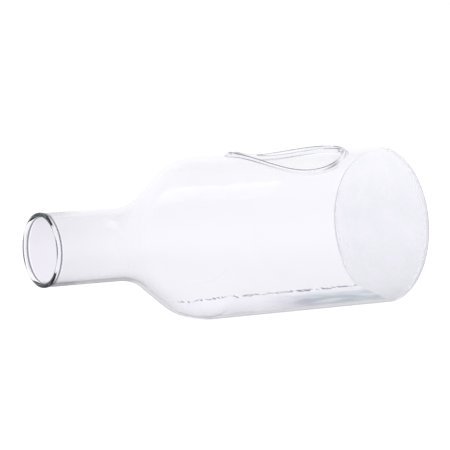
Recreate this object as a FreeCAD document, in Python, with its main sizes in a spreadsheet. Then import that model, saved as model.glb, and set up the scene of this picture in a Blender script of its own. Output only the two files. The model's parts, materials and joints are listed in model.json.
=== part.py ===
import FreeCAD, Part
import math
import os

import Sketcher

# A clear glass bottle that lies on its side, with a teardrop opening in the upper wall.
# It is made of hot-joined sections of glass, each one a node:
#   mouth_lip, neck_tube, shoulder, body_tube, opening_rim, base_disc.
#
# Frame: +X runs along the bottle from mouth to base, +Z is up, millimetres.
# Z = 0 is the plane the sole rests on, and X = 0, Y = 0 is the middle of the bottle's box.
# Every body is drawn in its own frame first: its X axis is the bottle's axis, and X = 0 the mouth.

Vector = FreeCAD.Vector
doc = FreeCAD.newDocument("lying_bottle")

# ---------------------------------------------------------------- driving dimensions

DIMENSIONS = [
    ("overall_length", 310.0, "mouth to base"),
    ("body_diameter", 125.0, "outside of the body"),
    ("wall", 2.6, "glass thickness of body, shoulder and neck"),
    ("neck_bore", 49.2, "inside diameter of the neck"),
    ("mouth_to_shoulder", 64.5, "straight part of the neck, lip included"),
    ("mouth_to_body", 140.0, "where the shoulder ends and the body starts"),
    ("shoulder_slope", 37.0, "angle of the shoulder's cone, degrees"),
    ("flare_radius", 43.0, "hollow bend between neck and cone"),
    ("lip_bore", 48.8, "inside diameter of the bead round the mouth"),
    ("lip_thickness", 3.2, "fire-polished bead round the mouth"),
    ("lip_flank", 2.2, "mouth to the back of the bead"),
    ("lip_bend", 0.5, "radius of the bends behind the bead, outside"),
    ("lip_length", 5.0, "mouth to the lip's seam with the neck"),
    ("base_thickness", 3.2, "flat disc that closes the body"),
    ("heel_radius", 1.2, "rounding between base and body"),
    ("sole_depth", 3.9, "how far the underside is flattened"),
    ("sole_blend", 22.0, "rounding between the flat sole and the round wall"),
    ("mouth_to_tip", 160.0, "mouth to the teardrop's point"),
    ("opening_length", 104.5, "point to round end, between bead centres"),
    ("opening_width", 64.0, "widest place, measured round the wall"),
    ("tip_to_widest", 57.0, "point to the widest place"),
    ("tip_handle", 10.0, "how long the point stays narrow"),
    ("front_handle", 35.5, "how early the flanks reach full width"),
    ("back_handle", 21.5, "how long the flanks keep full width"),
    ("end_handle", 12.0, "how full the round end is"),
    ("rim_thickness", 3.2, "fire-polished bead round the opening"),
    ("drop_width", 4.4, "drop of glass at the point, where the two strands run together"),
    ("tip_lift", 2.6, "bead at the point, above the middle of the wall"),
    ("dip_lift", 2.2, "height the bead is drawn to behind the point"),
    ("side_lift", 1.6, "bead at the widest place"),
    ("side_rise", 0.07, "slope of the bead there, towards the round end"),
    ("end_lift", 2.4, "bead at the round end"),
]

POINTS_PER_CURVE = 12        # through which each half of the teardrop's flank and round end is laid
COLUMN_POINTS = 40           # along the outline of the cut
SQUARE_ENOUGH = 0.999        # cosine above which a face counts as square to a direction

dims = doc.addObject("Spreadsheet::Sheet", "dims")
for row, (alias, number, meaning) in enumerate(DIMENSIONS, start=1):
    dims.set(f"A{row}", alias)
    dims.set(f"B{row}", str(number))
    dims.set(f"C{row}", meaning)
    dims.setAlias(f"B{row}", alias)
doc.recompute()


def size(alias):
    """A driving dimension, read from the sheet."""
    return float(dims.get(alias))


BODY_RADIUS = "dims.body_diameter / 2"
NECK_RADIUS = "(dims.neck_bore / 2 + dims.wall)"
AXIS_HEIGHT = "(dims.body_diameter / 2 - dims.sole_depth)"
BASE_SEAM = "(dims.overall_length - dims.base_thickness)"

body_radius = size("body_diameter") / 2
bore_radius = size("neck_bore") / 2
lip_bore_radius = size("lip_bore") / 2
neck_radius = bore_radius + size("wall")
axis_height = body_radius - size("sole_depth")
middle_radius = body_radius - size("wall") / 2


# ---------------------------------------------------------------- helpers

def new_body(label):
    """An empty body whose own X axis is the bottle's axis."""
    body = doc.addObject("PartDesign::Body", label)
    body.Label = label
    body.setExpression("Placement.Base.x", "-dims.overall_length / 2")
    body.setExpression("Placement.Base.z", AXIS_HEIGHT)
    return body


def new_sketch(body, role, name, offset=None):
    """A sketch on one of the body's origin planes, moved off it by an expression if given."""
    sketch = body.newObject("Sketcher::SketchObject", name)
    plane = next(item for item in body.Origin.OriginFeatures if item.Role == role)
    sketch.AttachmentSupport = [(plane, "")]
    sketch.MapMode = "FlatFace"
    if offset:
        sketch.setExpression("AttachmentOffset.Base.z", offset)
    return sketch


def drive(sketch, name, expression, constraint):
    """Add a dimension to a sketch and bind it to the sheet."""
    index = sketch.addConstraint(constraint)
    sketch.renameConstraint(index, name)
    sketch.setExpression(f"Constraints.{name}", expression)


def join_ends(sketch, count):
    """Close a loop of lines that are drawn one after another."""
    for index in range(count):
        sketch.addConstraint(Sketcher.Constraint("Coincident", index, 2, (index + 1) % count, 1))


def add_circle(sketch, name, diameter, radius):
    """A circle round the bottle's axis."""
    index = sketch.addGeometry(Part.Circle(Vector(0, 0, 0), Vector(0, 0, 1), radius))
    sketch.addConstraint(Sketcher.Constraint("Coincident", index, 3, -1, 1))
    drive(sketch, name, diameter, Sketcher.Constraint("Diameter", index, 2 * radius))


def pad_along(body, sketch, length):
    """Extrude a sketch of the YZ plane towards the base."""
    pad = body.newObject("PartDesign::Pad", f"{body.Name}_pad")
    pad.Profile = sketch
    pad.setExpression("Length", length)
    doc.recompute()
    return pad


def revolve(body, sketch):
    """Turn a profile of the XZ plane round the bottle's axis."""
    turned = body.newObject("PartDesign::Revolution", f"{body.Name}_revolution")
    turned.Profile = sketch
    turned.ReferenceAxis = (sketch, ["H_Axis"])
    turned.Angle = 360
    doc.recompute()
    return turned


def faces_across_axis(shape):
    """Names and places of the flat faces that stand square to the bottle's axis."""
    found = []
    for index, face in enumerate(shape.Faces, start=1):
        if isinstance(face.Surface, Part.Plane) and abs(face.normalAt(0, 0).x) > SQUARE_ENOUGH:
            found.append((f"Face{index}", face.CenterOfMass.x))
    return found


def sole_edges(shape):
    """Names of the edges where the flat underside meets the round wall."""
    sole = next(face for face in shape.Faces
                if isinstance(face.Surface, Part.Plane) and face.normalAt(0, 0).z < -SQUARE_ENOUGH)
    names = []
    for index, edge in enumerate(shape.Edges, start=1):
        along_wall = edge.BoundBox.XLength > size("heel_radius")
        if along_wall and any(edge.isSame(side) for side in sole.Edges):
            names.append(f"Edge{index}")
    return names


def check_objects():
    """Stop at the first object that failed to build."""
    for item in doc.Objects:
        if {"Invalid", "Error"} & set(item.State):
            raise RuntimeError(f"{item.Label} did not build: {item.getStatusString()}")


def flatten_underside(body, solid):
    """Cut the underside of a round section flat and blend the cut into the wall."""
    sketch = new_sketch(body, "YZ_Plane", f"{body.Name}_sole_sketch")
    half, top, bottom = body_radius, -axis_height, -axis_height - 2 * size("sole_depth")
    corners = [Vector(-half, bottom, 0), Vector(half, bottom, 0),
               Vector(half, top, 0), Vector(-half, top, 0)]
    for index, corner in enumerate(corners):
        sketch.addGeometry(Part.LineSegment(corner, corners[(index + 1) % 4]))
    join_ends(sketch, 4)
    for index, direction in [(0, "Horizontal"), (1, "Vertical"), (3, "Vertical")]:
        sketch.addConstraint(Sketcher.Constraint(direction, index))
    sketch.addConstraint(Sketcher.Constraint("Symmetric", 2, 1, 2, 2, -2))
    drive(sketch, "width", "dims.body_diameter", Sketcher.Constraint("DistanceX", 0, 1, 0, 2, 2 * half))
    drive(sketch, "height", "2 * dims.sole_depth", Sketcher.Constraint("DistanceY", 1, 1, 1, 2, top - bottom))
    drive(sketch, "below_axis", AXIS_HEIGHT, Sketcher.Constraint("DistanceY", 2, 1, -1, 1, -top))
    doc.recompute()

    volume = solid.Shape.Volume
    cut = body.newObject("PartDesign::Pocket", f"{body.Name}_sole")
    cut.Profile = sketch
    cut.Type = "ThroughAll"
    cut.Reversed = True
    doc.recompute()
    assert cut.Shape.Volume < volume

    blend = body.newObject("PartDesign::Fillet", f"{body.Name}_sole_blend")
    blend.Base = (cut, sole_edges(cut.Shape))
    blend.setExpression("Radius", "dims.sole_blend")
    doc.recompute()
    return blend


def hollow_out(body, solid):
    """Leave a wall of glass, open at both ends."""
    shell = body.newObject("PartDesign::Thickness", f"{body.Name}_wall")
    shell.Base = (solid, [name for name, _ in faces_across_axis(solid.Shape)])
    shell.setExpression("Value", "dims.wall")
    shell.Reversed = True
    doc.recompute()
    assert shell.Shape.Volume < solid.Shape.Volume
    return shell


# ---------------------------------------------------------------- neck and mouth

def make_mouth_lip():
    """Rounded bead at the mouth, thicker than the neck on both sides, with a double bend behind it."""
    body = new_body("mouth_lip")
    sketch = new_sketch(body, "XZ_Plane", "lip_profile")
    seam, flank, bead = size("lip_length"), size("lip_flank"), size("lip_thickness") / 2
    outside = lip_bore_radius + 2 * bead
    outer_bend = size("lip_bend")
    # The inner bends are smaller in the same ratio as their step, so both sides lean alike.
    inner_bend = outer_bend * (bore_radius - lip_bore_radius) / (outside - neck_radius)
    lean = math.acos(1 - (outside - neck_radius) / (2 * outer_bend))
    outer_reach, inner_reach = 2 * outer_bend * math.sin(lean), 2 * inner_bend * math.sin(lean)
    down, up = math.pi / 2, 3 * math.pi / 2
    normal = Vector(0, 0, 1)

    def bend(x, radius_from_axis, radius, start, end):
        return Part.ArcOfCircle(Part.Circle(Vector(x, radius_from_axis, 0), normal, radius), start, end)

    # Arcs run anticlockwise: the bead from its outer side over the mouth to its inner side.
    sketch.addGeometry([
        bend(bead, lip_bore_radius + bead, bead, down, up),
        Part.LineSegment(Vector(bead, outside, 0), Vector(flank, outside, 0)),
        bend(flank, outside - outer_bend, outer_bend, down - lean, down),
        bend(flank + outer_reach, neck_radius + outer_bend, outer_bend, up - lean, up),
        Part.LineSegment(Vector(flank + outer_reach, neck_radius, 0), Vector(seam, neck_radius, 0)),
        Part.LineSegment(Vector(seam, neck_radius, 0), Vector(seam, bore_radius, 0)),
        Part.LineSegment(Vector(seam, bore_radius, 0), Vector(flank + inner_reach, bore_radius, 0)),
        bend(flank + inner_reach, bore_radius - inner_bend, inner_bend, down, down + lean),
        bend(flank, lip_bore_radius + inner_bend, inner_bend, up, up + lean),
        Part.LineSegment(Vector(flank, lip_bore_radius, 0), Vector(bead, lip_bore_radius, 0)),
    ])
    sketch.addConstraint([
        Sketcher.Constraint("Tangent", 0, 1, 1, 1),
        Sketcher.Constraint("Tangent", 1, 2, 2, 2),
        Sketcher.Constraint("Tangent", 2, 1, 3, 1),
        Sketcher.Constraint("Tangent", 3, 2, 4, 1),
        Sketcher.Constraint("Coincident", 4, 2, 5, 1),
        Sketcher.Constraint("Coincident", 5, 2, 6, 1),
        Sketcher.Constraint("Tangent", 6, 2, 7, 1),
        Sketcher.Constraint("Tangent", 7, 2, 8, 2),
        Sketcher.Constraint("Tangent", 8, 1, 9, 1),
        Sketcher.Constraint("Tangent", 9, 2, 0, 2),
        Sketcher.Constraint("Horizontal", 1),
        Sketcher.Constraint("Horizontal", 4),
        Sketcher.Constraint("Horizontal", 6),
        Sketcher.Constraint("Horizontal", 9),
        Sketcher.Constraint("Vertical", 5),
        Sketcher.Constraint("Equal", 2, 3),
        Sketcher.Constraint("Equal", 7, 8),
        Sketcher.Constraint("Equal", 1, 9),
    ])
    drive(sketch, "lip_bore", "dims.lip_bore / 2",
          Sketcher.Constraint("DistanceY", -1, 1, 9, 2, lip_bore_radius))
    drive(sketch, "neck_bore", "dims.neck_bore / 2",
          Sketcher.Constraint("DistanceY", -1, 1, 5, 2, bore_radius))
    drive(sketch, "neck_radius", NECK_RADIUS, Sketcher.Constraint("DistanceY", -1, 1, 5, 1, neck_radius))
    drive(sketch, "seam", "dims.lip_length", Sketcher.Constraint("DistanceX", -1, 1, 5, 1, seam))
    drive(sketch, "flank", "dims.lip_flank", Sketcher.Constraint("DistanceX", -1, 1, 1, 2, flank))
    drive(sketch, "bead", "dims.lip_thickness / 2", Sketcher.Constraint("Radius", 0, bead))
    drive(sketch, "front", "dims.lip_thickness / 2", Sketcher.Constraint("DistanceX", -1, 1, 0, 3, bead))
    drive(sketch, "outer_bend", "dims.lip_bend", Sketcher.Constraint("Radius", 2, outer_bend))
    inner_ratio = "(dims.neck_bore - dims.lip_bore) / (dims.lip_bore + 2 * dims.lip_thickness - 2 * {})"
    drive(sketch, "inner_bend", f"dims.lip_bend * {inner_ratio.format(NECK_RADIUS)}",
          Sketcher.Constraint("Radius", 7, inner_bend))
    revolve(body, sketch)
    return body


def make_neck_tube():
    """Straight tube between the lip and the shoulder."""
    body = new_body("neck_tube")
    sketch = new_sketch(body, "YZ_Plane", "neck_section", "dims.lip_length")
    add_circle(sketch, "outside", f"2 * {NECK_RADIUS}", neck_radius)
    add_circle(sketch, "bore", "dims.neck_bore", bore_radius)
    pad_along(body, sketch, "dims.mouth_to_shoulder - dims.lip_length")
    return body


# ---------------------------------------------------------------- shoulder, body and base

def make_shoulder():
    """Bell that widens from the neck to the body: a hollow bend, a cone and a full bend."""
    body = new_body("shoulder")
    sketch = new_sketch(body, "XZ_Plane", "shoulder_profile")
    start, end = size("mouth_to_shoulder"), size("mouth_to_body")
    slope, flare = math.radians(size("shoulder_slope")), size("flare_radius")
    cosine_drop = 1 - math.cos(slope)
    # The full bend's radius follows from the length and rise that the flare and cone leave it.
    rise = (body_radius - neck_radius) - (end - start) * math.tan(slope)
    full = -rise / (math.sin(slope) * math.tan(slope) - cosine_drop) - flare
    flare_end = Vector(start + flare * math.sin(slope), neck_radius + flare * cosine_drop, 0)
    full_start = Vector(end - full * math.sin(slope), body_radius - full * cosine_drop, 0)
    normal = Vector(0, 0, 1)
    flare_circle = Part.Circle(Vector(start, neck_radius + flare, 0), normal, flare)
    full_circle = Part.Circle(Vector(end, body_radius - full, 0), normal, full)
    sketch.addGeometry([
        Part.LineSegment(Vector(start, 0, 0), Vector(start, neck_radius, 0)),
        Part.ArcOfCircle(flare_circle, -math.pi / 2, -math.pi / 2 + slope),
        Part.LineSegment(flare_end, full_start),
        Part.ArcOfCircle(full_circle, math.pi / 2, math.pi / 2 + slope),
        Part.LineSegment(Vector(end, body_radius, 0), Vector(end, 0, 0)),
        Part.LineSegment(Vector(end, 0, 0), Vector(start, 0, 0)),
    ])
    sketch.addConstraint([
        Sketcher.Constraint("Coincident", 0, 2, 1, 1),
        Sketcher.Constraint("Tangent", 1, 2, 2, 1),
        Sketcher.Constraint("Tangent", 2, 2, 3, 2),
        Sketcher.Constraint("Coincident", 3, 1, 4, 1),
        Sketcher.Constraint("Coincident", 4, 2, 5, 1),
        Sketcher.Constraint("Coincident", 5, 2, 0, 1),
        Sketcher.Constraint("Vertical", 0),
        Sketcher.Constraint("Vertical", 4),
        Sketcher.Constraint("PointOnObject", 0, 1, -1),
        Sketcher.Constraint("PointOnObject", 4, 2, -1),
        Sketcher.Constraint("Vertical", 1, 3, 1, 1),
        Sketcher.Constraint("Vertical", 3, 3, 3, 1),
    ])
    drive(sketch, "start", "dims.mouth_to_shoulder", Sketcher.Constraint("DistanceX", -1, 1, 0, 1, start))
    drive(sketch, "finish", "dims.mouth_to_body", Sketcher.Constraint("DistanceX", -1, 1, 4, 2, end))
    drive(sketch, "neck", NECK_RADIUS, Sketcher.Constraint("DistanceY", 0, 1, 0, 2, neck_radius))
    drive(sketch, "full_width", BODY_RADIUS, Sketcher.Constraint("DistanceY", 4, 2, 4, 1, body_radius))
    drive(sketch, "flare", "dims.flare_radius", Sketcher.Constraint("Radius", 1, flare))
    drive(sketch, "slope", "dims.shoulder_slope * 1 deg", Sketcher.Constraint("Angle", 2, slope))
    bell = revolve(body, sketch)
    hollow_out(body, flatten_underside(body, bell))
    return body


def make_body_blank():
    """The body's tube with its flattened sole, before the opening is cut."""
    body = new_body("body_blank")
    sketch = new_sketch(body, "YZ_Plane", "body_section", "dims.mouth_to_body")
    add_circle(sketch, "outside", "dims.body_diameter", body_radius)
    tube = pad_along(body, sketch, f"{BASE_SEAM} - dims.mouth_to_body")
    hollow_out(body, flatten_underside(body, tube))
    return body


def make_base_disc():
    """Flat disc across the end of the body, with the body's flattened outline and a rounded heel."""
    body = new_body("base_disc")
    sketch = new_sketch(body, "YZ_Plane", "base_section", BASE_SEAM)
    add_circle(sketch, "outside", "dims.body_diameter", body_radius)
    disc = pad_along(body, sketch, "dims.base_thickness")
    flat_disc = flatten_underside(body, disc)
    outer_face = max(faces_across_axis(flat_disc.Shape), key=lambda named: named[1])[0]
    heel = body.newObject("PartDesign::Fillet", "heel")
    heel.Base = (flat_disc, [outer_face])
    heel.setExpression("Radius", "dims.heel_radius")
    doc.recompute()
    return body


# ---------------------------------------------------------------- the teardrop opening

def bezier(controls, ratio):
    """Point on a cubic Bezier curve."""
    rest = 1 - ratio
    weights = (rest ** 3, 3 * rest ** 2 * ratio, 3 * rest * ratio ** 2, ratio ** 3)
    return sum((point * weight for point, weight in zip(controls, weights)), Vector())


def rim_point(flat):
    """Lay a point of the unrolled outline on the wall: x along, y round and z above the wall's middle."""
    angle = flat.y / middle_radius
    reach = middle_radius + flat.z
    return Vector(flat.x, reach * math.sin(angle), reach * math.cos(angle))


def rim_centreline():
    """One half of the teardrop, from its point round to the middle of the round end."""
    tip, wide = size("mouth_to_tip"), size("opening_width") / 2
    widest = tip + size("tip_to_widest")
    end = tip + size("opening_length")
    front, back, rise = size("front_handle"), size("back_handle"), size("side_rise")
    side = size("side_lift")
    flank = [Vector(tip, 0, size("tip_lift")),
             Vector(tip + size("tip_handle"), 0, size("dip_lift")),
             Vector(widest - front, wide, side - front * rise),
             Vector(widest, wide, side)]
    round_end = [flank[-1],
                 Vector(widest + back, wide, side + back * rise),
                 Vector(end, size("end_handle"), size("end_lift")),
                 Vector(end, 0, size("end_lift"))]
    ratios = [step / POINTS_PER_CURVE for step in range(POINTS_PER_CURVE)]
    half = [bezier(flank, ratio) for ratio in ratios]
    half += [bezier(round_end, ratio) for ratio in ratios]
    other_half = [Vector(point.x, -point.y, point.z) for point in reversed(half)]
    curve = Part.BSplineCurve()
    curve.interpolate(Points=[rim_point(point) for point in half + [round_end[-1]] + other_half])
    curve.segment(curve.FirstParameter, curve.parameter(rim_point(round_end[-1])))
    return curve


def half_bead(curve):
    """Round bead along one half of the teardrop, with a drop at its point, kept to its own side."""
    radius = size("rim_thickness") / 2
    start = curve.value(curve.FirstParameter)
    direction = curve.tangent(curve.FirstParameter)[0]
    section = Part.Wire(Part.makeCircle(radius, start, direction).Edges)
    bead = Part.Wire(curve.toShape()).makePipeShell([section], True, False)
    drop = Part.makeSphere(size("drop_width") / 2, start)
    length = size("opening_length")
    corner = Vector(start.x - length / 2, 0, start.z - length)
    side = Part.makeBox(2 * length, length, 2 * length, corner)
    return bead.fuse(drop).common(side)


def mirrored(shape):
    """A shape together with its mirror image across the bottle's upright middle plane."""
    return shape.fuse(shape.mirror(Vector(), Vector(0, 1, 0))).removeSplitter()


def opening_column(curve):
    """The space above and below the teardrop, out to the bead's centre."""
    deep, high = axis_height / 2, body_radius + size("rim_thickness") + size("tip_lift")
    first, span = curve.FirstParameter, curve.LastParameter - curve.FirstParameter
    samples = [curve.value(first + span * step / COLUMN_POINTS) for step in range(COLUMN_POINTS + 1)]
    outline = Part.BSplineCurve()
    outline.interpolate(Points=[Vector(point.x, point.y, deep) for point in samples])
    middle = Part.makeLine(Vector(samples[-1].x, 0, deep), Vector(samples[0].x, 0, deep))
    face = Part.Face(Part.Wire([outline.toShape(), middle]))
    return face.extrude(Vector(0, 0, high - deep))


def place_on_axis(feature):
    """Put a feature that was drawn round the bottle's axis in its place."""
    feature.Placement = FreeCAD.Placement(Vector(-size("overall_length") / 2, 0, axis_height),
                                          FreeCAD.Rotation())


def make_opening():
    """The bead round the opening, and the tool that cuts its seat and the opening in the body."""
    centreline = rim_centreline()
    bead = mirrored(half_bead(centreline))
    rim = doc.addObject("Part::Feature", "opening_rim")
    rim.Shape = bead
    place_on_axis(rim)
    cutter = doc.addObject("Part::Feature", "opening_cutter")
    cutter.Shape = bead.fuse(mirrored(opening_column(centreline)))
    place_on_axis(cutter)
    return rim, cutter


def make_body_tube(cutter):
    """The body's tube with the teardrop cut out of its upper wall."""
    blank = make_body_blank()
    tube = doc.addObject("Part::Cut", "body_tube")
    tube.Base = blank
    tube.Tool = cutter
    doc.recompute()
    assert tube.Shape.Volume < blank.Shape.Volume
    return tube


# ---------------------------------------------------------------- build, check and write

opening_rim, opening_cutter = make_opening()
nodes = [
    make_mouth_lip(),
    make_neck_tube(),
    make_shoulder(),
    make_body_tube(opening_cutter),
    opening_rim,
    make_base_disc(),
]
doc.recompute()

check_objects()
for node in nodes:
    if node.Shape.isNull() or not node.Shape.isValid() or len(node.Shape.Solids) != 1:
        raise RuntimeError(f"{node.Label} is not one valid solid")

os.makedirs("parts", exist_ok=True)
for node in nodes:
    node.Shape.exportStep(f"parts/{node.Label}.step")
    print(node.Label, round(node.Shape.Volume, 1))
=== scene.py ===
import json
import math

import bpy
import numpy as np
from mathutils import Matrix, Vector


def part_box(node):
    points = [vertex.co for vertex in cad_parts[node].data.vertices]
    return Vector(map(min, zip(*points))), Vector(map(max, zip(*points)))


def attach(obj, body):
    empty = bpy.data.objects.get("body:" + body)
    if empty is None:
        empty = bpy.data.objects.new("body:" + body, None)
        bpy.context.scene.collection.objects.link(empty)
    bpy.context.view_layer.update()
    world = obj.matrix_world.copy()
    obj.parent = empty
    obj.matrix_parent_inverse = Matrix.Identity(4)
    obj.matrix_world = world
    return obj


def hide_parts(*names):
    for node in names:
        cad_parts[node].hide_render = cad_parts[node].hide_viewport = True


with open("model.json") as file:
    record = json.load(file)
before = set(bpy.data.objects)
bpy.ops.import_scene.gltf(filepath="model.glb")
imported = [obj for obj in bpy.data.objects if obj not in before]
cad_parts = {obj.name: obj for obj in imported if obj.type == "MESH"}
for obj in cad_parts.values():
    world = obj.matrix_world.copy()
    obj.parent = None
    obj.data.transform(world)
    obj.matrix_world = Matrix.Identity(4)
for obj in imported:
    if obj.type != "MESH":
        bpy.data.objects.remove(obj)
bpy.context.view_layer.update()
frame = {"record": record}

MM = 0.001


# ---------------------------------------------------------------- sizes read from the frame

def frame_sizes():
    """The bottle's stations along X and its radii, from the CAD nodes' boxes and the record."""
    lip_low, lip_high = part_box("mouth_lip")
    neck_low, neck_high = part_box("neck_tube")
    body_low, body_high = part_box("body_tube")
    base_low, base_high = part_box("base_disc")
    rim_low, rim_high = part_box("opening_rim")
    bore = next(mount for mount in frame["record"]["mounts"] if mount["name"] == "mouth_bore")
    return {
        "mouth": lip_low.x,
        "lip_seam": neck_low.x,
        "lip_outside": (lip_high.y - lip_low.y) / 2,
        "neck_end": neck_high.x,
        "body_start": body_low.x,
        "base_seam": base_low.x,
        "base_end": base_high.x,
        "axis": (neck_low.z + neck_high.z) / 2,
        "neck": (neck_high.y - neck_low.y) / 2,
        "body": (body_high.y - body_low.y) / 2,
        "lip_bore": bore["dims"]["r_mm"] * MM,
        "rim_low": rim_low.x,
        "rim_high": rim_high.x,
    }


S = frame_sizes()
WALL = 2.6 * MM
BORE = S["neck"] - WALL                  # radius of the neck's bore
MIDDLE = S["body"] - WALL / 2            # radius of the middle of the body's wall

# The shoulder: a hollow bend, a cone and a full bend. The bends' radii together take up what the
# cone leaves over between the neck's radius and the body's.
FLARE = 43.0 * MM                        # radius of the hollow bend outside
SLOPE = math.radians(37.0)               # angle between the cone and the axis
LEFT_OVER = (S["body"] - S["neck"]) - (S["body_start"] - S["neck_end"]) * math.tan(SLOPE)
FULL_BEND = LEFT_OVER / (1 - math.cos(SLOPE) - math.sin(SLOPE) * math.tan(SLOPE)) - FLARE

SOLE_HALF = 21.7 * MM                    # half the width of the sole's matte strip
SOLE_BLEND = 1.4 * MM                    # how softly the flat sole turns into the round wall
SOLE_REACH = 0.2                         # how far down a skin points before the sole can cut it
FAR_AWAY = 1.0                           # a distance longer than any on the bottle
SETTLE = 10 * MM                         # length over which the wall's unevenness starts and ends
HEEL = 1.2 * MM                          # radius of the rounding round the base

# The teardrop opening, unrolled: x along the bottle, w round it, lift above the wall's middle.
BEAD = 1.6 * MM                          # radius of the bead round the opening
DROP = 2.2 * MM                          # and of the drop at its point
DROP_REACH = 2.5 * MM                    # along the bead, over which the drop thins out
TIP_X = S["rim_low"] + DROP
END_X = S["rim_high"] - BEAD
WIDEST_X = TIP_X + 57.0 * MM
HALF_WIDTH = 32.0 * MM
TIP_LIFT, DIP_LIFT, SIDE_LIFT, END_LIFT = 2.6 * MM, 2.2 * MM, 1.6 * MM, 2.4 * MM
SIDE_RISE = 0.07                         # slope of the lift along the sides, up towards the base
# Lengths of the curve's handles.
TIP_HANDLE, FRONT_HANDLE, BACK_HANDLE, END_HANDLE = 10.0 * MM, 35.5 * MM, 21.5 * MM, 12.0 * MM
BEAD_FLANK = 3.0                         # slope of the bead's outer flank, down to the wall
BEAD_VALLEY = 0.25 * MM                  # how softly the bead meets the wall outside
RIM_SEAM = 4.0 * MM                      # where the rim's glass ends and the body's begins

# The lip's bead.
LIP_FLANK = 2.2 * MM                     # length of the bead, up to the bends behind it
LIP_BEND = 0.5 * MM                      # radius of those bends outside
LIP_END = S["mouth"] + 3.0 * MM          # where the bead and its bends end
VALLEY_X = 3.1 * MM                      # where the painted shade line in the valley behind the bead is darkest
VALLEY_HALF = 1.1 * MM                   # and half its width

# How finely the meshes are divided.
ROUND = 180                              # divisions round the bottle
GRID = 2.1 * MM                          # length of a division along it
FAN = 16                                 # divisions of the quarter turn round the opening's tip
RINGS = 18                               # rings of quads between the rim's seam and the body's own grid
RIM_ROWS = 25                            # rows of points from the rim's seam to the bead's crest
RIM_TURN = 31                            # points round the opening's inner edge
LIP_TURN = 33                            # points round the mouth's edge
BEND_TURN = 9                            # and on each small bend or heel
DISC_ROWS = 30                           # rings of points on each face of the base
CURVE_POINTS = 1500                      # points on each half curve, to measure its length
LINE_POINTS = 2400                       # points on the centreline that distances are measured to
CHUNK = 2000                             # distances worked out at a time
EVENINGS = 400                           # times that the rings round the opening are evened out
ON_PLANE = 1e-9                          # points this close to the bottle's middle plane lie on it


# ---------------------------------------------------------------- the teardrop's centreline

def bezier(controls, ratio):
    """Points on a cubic Bezier curve, one row for each ratio."""
    ratio = np.asarray(ratio)[:, None]
    rest = 1 - ratio
    first, second, third, fourth = np.array(controls)
    ends = rest ** 3 * first + ratio ** 3 * fourth
    return ends + 3 * rest ** 2 * ratio * second + 3 * rest * ratio ** 2 * third


def centreline(count):
    """One half of the teardrop from its tip to the middle of its round end, in equal steps:
    x, w, lift and the bead's radius."""
    flank = [(TIP_X, 0, TIP_LIFT),
             (TIP_X + TIP_HANDLE, 0, DIP_LIFT),
             (WIDEST_X - FRONT_HANDLE, HALF_WIDTH, SIDE_LIFT - FRONT_HANDLE * SIDE_RISE),
             (WIDEST_X, HALF_WIDTH, SIDE_LIFT)]
    round_end = [flank[-1],
                 (WIDEST_X + BACK_HANDLE, HALF_WIDTH, SIDE_LIFT + BACK_HANDLE * SIDE_RISE),
                 (END_X, END_HANDLE, END_LIFT),
                 (END_X, 0, END_LIFT)]
    ratio = np.linspace(0, 1, CURVE_POINTS)
    dense = np.concatenate([bezier(flank, ratio)[:-1], bezier(round_end, ratio)])
    steps = np.linalg.norm(np.diff(dense[:, :2], axis=0), axis=1)
    length = np.concatenate([[0], np.cumsum(steps)])
    places = np.linspace(0, length[-1], count)
    line = [np.interp(places, length, dense[:, axis]) for axis in range(3)]
    thickness = BEAD + (DROP - BEAD) * np.exp(-(places / DROP_REACH) ** 2)
    return np.stack(line + [thickness], axis=1)


DENSE_LINE = centreline(LINE_POINTS)


def edge_distance(x, w):
    """Distance from the bead's centreline on the unrolled wall, and its nearest point's lift and radius."""
    flat_x, flat_w = np.ravel(x), np.abs(np.ravel(w))
    distance = np.full(flat_x.shape, FAR_AWAY)
    lift = np.zeros(flat_x.shape)
    bead = np.full(flat_x.shape, BEAD)
    near = (flat_x > TIP_X - RIM_SEAM) & (flat_x < END_X + RIM_SEAM) & (flat_w < HALF_WIDTH + RIM_SEAM)
    for chunk in np.array_split(np.flatnonzero(near), max(1, near.sum() // CHUNK)):
        gaps = np.hypot(flat_x[chunk, None] - DENSE_LINE[:, 0], flat_w[chunk, None] - DENSE_LINE[:, 1])
        closest = gaps.argmin(axis=1)
        distance[chunk] = gaps[np.arange(len(chunk)), closest]
        lift[chunk] = DENSE_LINE[closest, 2]
        bead[chunk] = DENSE_LINE[closest, 3]
    return [flat.reshape(np.shape(x)) for flat in (distance, lift, bead)]


# ---------------------------------------------------------------- the wall as a function

def circle(radius, along):
    """Height of a circle's edge over its diameter, at a place along it from the centre."""
    return np.sqrt(np.clip(radius ** 2 - along ** 2, 0, None))


def round_radius(x, inset):
    """Radius of the vessel before the sole is flattened, inset from the outside by that much."""
    flare_end = S["neck_end"] + (FLARE + inset) * math.sin(SLOPE)
    bend_start = S["body_start"] - (FULL_BEND - inset) * math.sin(SLOPE)
    hollow = S["neck"] + FLARE - circle(FLARE + inset, x - S["neck_end"])
    full = S["body"] - FULL_BEND + circle(FULL_BEND - inset, S["body_start"] - x)
    flare_top = S["neck"] + FLARE - (FLARE + inset) * math.cos(SLOPE)
    cone = flare_top + (x - flare_end) * math.tan(SLOPE)
    pieces = [x <= S["neck_end"], x <= flare_end, x <= bend_start, x <= S["body_start"]]
    return np.select(pieces, [S["neck"] - inset, hollow, cone, full], S["body"] - inset)


def soft_minimum(first, second, softness):
    """The smaller of two values, with a rounded corner where they are equal."""
    share = np.clip(softness - np.abs(first - second), 0, None) / softness
    return np.minimum(first, second) - share ** 2 * softness / 4


def hand_made(x, angle, inset):
    """Small unevenness of blown glass: slow waves round and along the wall, stronger on the inside."""
    waves = (np.sin(2 * angle + 40 * x) + 0.6 * np.sin(3 * angle - 65 * x + 1.0)
             + 0.5 * np.sin(5 * angle + 90 * x + 2.0))
    return waves * np.where(inset > 0, 0.07, 0.03) * MM


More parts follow.
